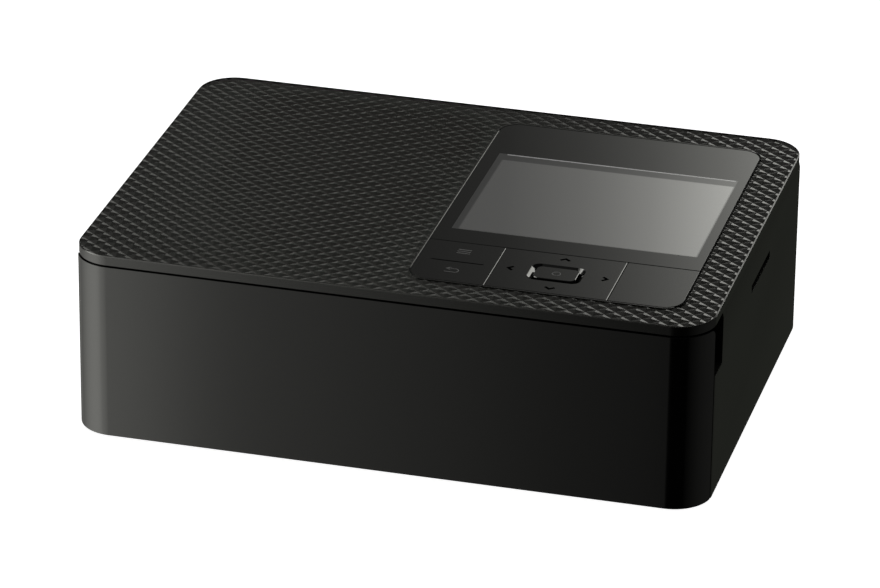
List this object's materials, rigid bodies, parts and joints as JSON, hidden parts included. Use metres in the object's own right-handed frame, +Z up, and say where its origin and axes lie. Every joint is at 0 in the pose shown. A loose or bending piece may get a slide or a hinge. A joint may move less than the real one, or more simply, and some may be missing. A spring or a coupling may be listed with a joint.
{
  "type": "compact photo printer",
  "caption": "Low boxy photo printer with a flip-down front cover, a colour display panel with keys, a card slot, and an inner dye ribbon print engine",
  "frame": {"origin": "the middle of the footprint, on the table surface under the feet", "axes": "+X to the right, -Y toward the front cover, +Z up; the printer is widest along X and lowest along Z"},
  "size_m": [0.1822, 0.133, 0.0576],
  "materials": {
    "case_black": "satin black moulded housing, fine grain on the lid's field",
    "cover_black": "satin to semi-gloss black front cover",
    "key_gloss": "gloss black key plates",
    "panel_glass": "smoked display window, gloss",
    "lcd_grey": "dark grey display behind the window",
    "inner_black": "matt black inner mouldings",
    "board_green": "green circuit board",
    "parts_dark": "dark component bodies",
    "contact_steel": "bright plated steel",
    "plate_steel": "zinc plated sheet",
    "shaft_steel": "ground steel shafts and pins",
    "brass": "turned brass",
    "gear_white": "natural acetal gears and bushes",
    "roller_rubber": "dark rubber",
    "head_alu": "extruded heat sink",
    "head_ceramic": "glazed ceramic head",
    "ribbon_grey": "dark grey ribbon case",
    "ribbon_dye": "yellow dye film",
    "lever_blue": "blue eject lever",
    "foot_rubber": "dark grey rubber feet"
  },
  "bodies": {
    "housing": {"top_shell": "case_black", "base_plate": "case_black", "front_frame": "inner_black", "feet": "foot_rubber", "case_screws": "shaft_steel", "ribbon_door_pins": "shaft_steel", "display_glass": "panel_glass", "lcd_module": "lcd_grey", "panel_tray": "inner_black", "key_board": "board_green", "key_switches": "contact_steel", "key_saddles": "inner_black", "main_board": "board_green", "board_parts": "parts_dark", "card_socket": "contact_steel", "usb_socket": "contact_steel", "dc_jack": "parts_dark", "chassis_left": "plate_steel", "chassis_right": "plate_steel", "gear_plate": "plate_steel", "gear_standoffs": "brass", "roller_bushes": "gear_white", "paper_guide": "inner_black", "pinch_holder": "inner_black", "idler_axle": "shaft_steel", "motor": "plate_steel", "pickup_shaft": "shaft_steel", "eject_pin": "shaft_steel"},
    "front_cover": {"front_cover": "cover_black", "front_cover_pins": "shaft_steel"},
    "ribbon_door": {"ribbon_door": "case_black"},
    "menu_key": {"menu_key": "key_gloss"},
    "pad_carrier": {"pad_carrier": "inner_black"},
    "nav_pad": {"nav_pad": "key_gloss"},
    "ok_key": {"ok_key": "key_gloss"},
    "print_key": {"print_key": "key_gloss"},
    "platen": {"platen_shaft": "shaft_steel", "platen_sleeve": "roller_rubber", "platen_gear": "gear_white"},
    "feed_roller": {"feed_roller": "shaft_steel", "feed_gear": "gear_white"},
    "pinch_roller": {"pinch_roller": "shaft_steel"},
    "idler": {"idler_gear": "gear_white"},
    "motor_rotor": {"motor_pinion": "brass"},
    "takeup_drive": {"takeup_gear": "gear_white"},
    "supply_hub": {"supply_hub": "parts_dark"},
    "print_head": {"head_frame": "plate_steel", "heat_sink": "head_alu", "thermal_head": "head_ceramic"},
    "pickup_arm": {"pickup_arm": "inner_black"},
    "pickup_roller": {"pickup_roller": "gear_white", "pickup_tyres": "roller_rubber"},
    "pickup_idler": {"pickup_idler": "gear_white"},
    "pickup_drive": {"pickup_drive_gear": "gear_white"},
    "ribbon_cassette": {"ribbon_case": "ribbon_grey", "ribbon_film": "ribbon_dye"},
    "takeup_spool": {"takeup_spool": "ribbon_grey"},
    "supply_spool": {"supply_spool": "ribbon_dye"},
    "eject_lever": {"eject_lever": "lever_blue"}
  },
  "joints": [
    {"name": "front_cover_hinge", "type": "hinge", "parent": "housing", "child": "front_cover", "pos_m": [0, -0.0634, 0.0035], "axis": [1, 0, 0], "range_deg": [0, 90]},
    {"name": "ribbon_door_hinge", "type": "hinge", "parent": "housing", "child": "ribbon_door", "pos_m": [-0.0886, 0.051, 0.0372], "axis": [0, 0, -1], "range_deg": [0, 90]},
    {"name": "menu_key_rock", "type": "hinge", "parent": "housing", "child": "menu_key", "pos_m": [0.01405, -0.04215, 0.055], "axis": [1, 0, 0], "range_deg": [-2.4, 2.4], "stiffness_Nm_per_rad": 0.2},
    {"name": "pad_rock_front_back", "type": "hinge", "parent": "housing", "child": "pad_carrier", "pos_m": [0.0425, -0.04215, 0.055], "axis": [1, 0, 0], "range_deg": [-1.8, 1.8], "stiffness_Nm_per_rad": 0.4},
    {"name": "pad_rock_left_right", "type": "hinge", "parent": "pad_carrier", "child": "nav_pad", "pos_m": [0.0425, -0.04215, 0.0554], "axis": [0, 1, 0], "range_deg": [-1.2, 1.2], "stiffness_Nm_per_rad": 0.4},
    {"name": "ok_key_press", "type": "slide", "parent": "housing", "child": "ok_key", "axis": [0, 0, -1], "range_m": [0, 0.0003], "stiffness_N_per_m": 1500, "springref_m": -0.0003},
    {"name": "print_key_press", "type": "slide", "parent": "housing", "child": "print_key", "axis": [0, 0, -1], "range_m": [0, 0.0003], "stiffness_N_per_m": 1500, "springref_m": -0.0003},
    {"name": "platen_spin", "type": "hinge", "parent": "housing", "child": "platen", "pos_m": [0, 0.022, 0.02], "axis": [1, 0, 0], "continuous": true},
    {"name": "feed_roller_spin", "type": "hinge", "parent": "housing", "child": "feed_roller", "pos_m": [0, -0.004, 0.02], "axis": [1, 0, 0], "continuous": true},
    {"name": "idler_spin", "type": "hinge", "parent": "housing", "child": "idler", "pos_m": [0.0365, 0.009, 0.02788], "axis": [1, 0, 0], "continuous": true},
    {"name": "motor_spin", "type": "hinge", "parent": "housing", "child": "motor_rotor", "pos_m": [0.043, 0.03282, 0.0229], "axis": [1, 0, 0], "continuous": true},
    {"name": "takeup_gear_spin", "type": "hinge", "parent": "housing", "child": "takeup_drive", "pos_m": [0.032, 0.005, 0.0366], "axis": [1, 0, 0], "continuous": true},
    {"name": "takeup_spool_spin", "type": "hinge", "parent": "ribbon_cassette", "child": "takeup_spool", "pos_m": [-0.029, 0.005, 0.0366], "axis": [1, 0, 0], "continuous": true},
    {"name": "supply_spool_spin", "type": "hinge", "parent": "ribbon_cassette", "child": "supply_spool", "pos_m": [-0.029, 0.039, 0.0366], "axis": [1, 0, 0], "continuous": true},
    {"name": "supply_hub_spin", "type": "hinge", "parent": "housing", "child": "supply_hub", "pos_m": [0.031, 0.039, 0.0366], "axis": [1, 0, 0], "continuous": true},
    {"name": "pinch_roller_spin", "type": "hinge", "parent": "housing", "child": "pinch_roller", "pos_m": [-0.0265, -0.004, 0.0288], "axis": [1, 0, 0], "continuous": true},
    {"name": "print_head_lift", "type": "hinge", "parent": "housing", "child": "print_head", "pos_m": [-0.025, 0.054, 0.044], "axis": [1, 0, 0], "range_deg": [0, 7.2], "stiffness_Nm_per_rad": 0.6, "springref_deg": -20.05, "deforming": ["ribbon_film"]},
    {"name": "pickup_arm_swing", "type": "hinge", "parent": "housing", "child": "pickup_arm", "pos_m": [-0.0265, -0.016, 0.038], "axis": [1, 0, 0], "range_deg": [0, 25], "stiffness_Nm_per_rad": 0.02, "springref_deg": -34.38},
    {"name": "pickup_roller_spin", "type": "hinge", "parent": "pickup_arm", "child": "pickup_roller", "pos_m": [-0.0265, -0.03767, 0.03914], "axis": [1, 0, 0], "continuous": true},
    {"name": "pickup_idler_spin", "type": "hinge", "parent": "pickup_arm", "child": "pickup_idler", "pos_m": [-0.045, -0.02719, 0.03859], "axis": [1, 0, 0], "continuous": true},
    {"name": "pickup_drive_spin", "type": "hinge", "parent": "pickup_arm", "child": "pickup_drive", "pos_m": [-0.045, -0.016, 0.038], "axis": [1, 0, 0], "continuous": true},
    {"name": "ribbon_cassette_slide", "type": "slide", "parent": "housing", "child": "ribbon_cassette", "axis": [-1, 0, 0], "range_m": [0, 0.002]},
    {"name": "eject_lever_swing", "type": "hinge", "parent": "housing", "child": "eject_lever", "pos_m": [-0.0836, -0.013, 0.0356], "axis": [0, 0, 1], "range_deg": [0, 20]}
  ],
  "couplings": [
    {"joint": "feed_roller_spin", "follows": "platen_spin", "ratio": 1},
    {"joint": "idler_spin", "follows": "platen_spin", "ratio": -0.9},
    {"joint": "motor_spin", "follows": "platen_spin", "ratio": -1.8},
    {"joint": "takeup_gear_spin", "follows": "platen_spin", "ratio": 0.76154},
    {"joint": "takeup_spool_spin", "follows": "platen_spin", "ratio": 0.76154},
    {"joint": "supply_spool_spin", "follows": "platen_spin", "ratio": 0.47339},
    {"joint": "supply_hub_spin", "follows": "platen_spin", "ratio": 0.47339},
    {"joint": "pinch_roller_spin", "follows": "platen_spin", "ratio": -2.4},
    {"joint": "pickup_idler_spin", "follows": "pickup_roller_spin", "ratio": -0.66667},
    {"joint": "pickup_drive_spin", "follows": "pickup_roller_spin", "ratio": 0.85714},
    {"joint": "eject_lever_swing", "follows": "ribbon_cassette_slide", "rad_per_m": 169.5}
  ]
}
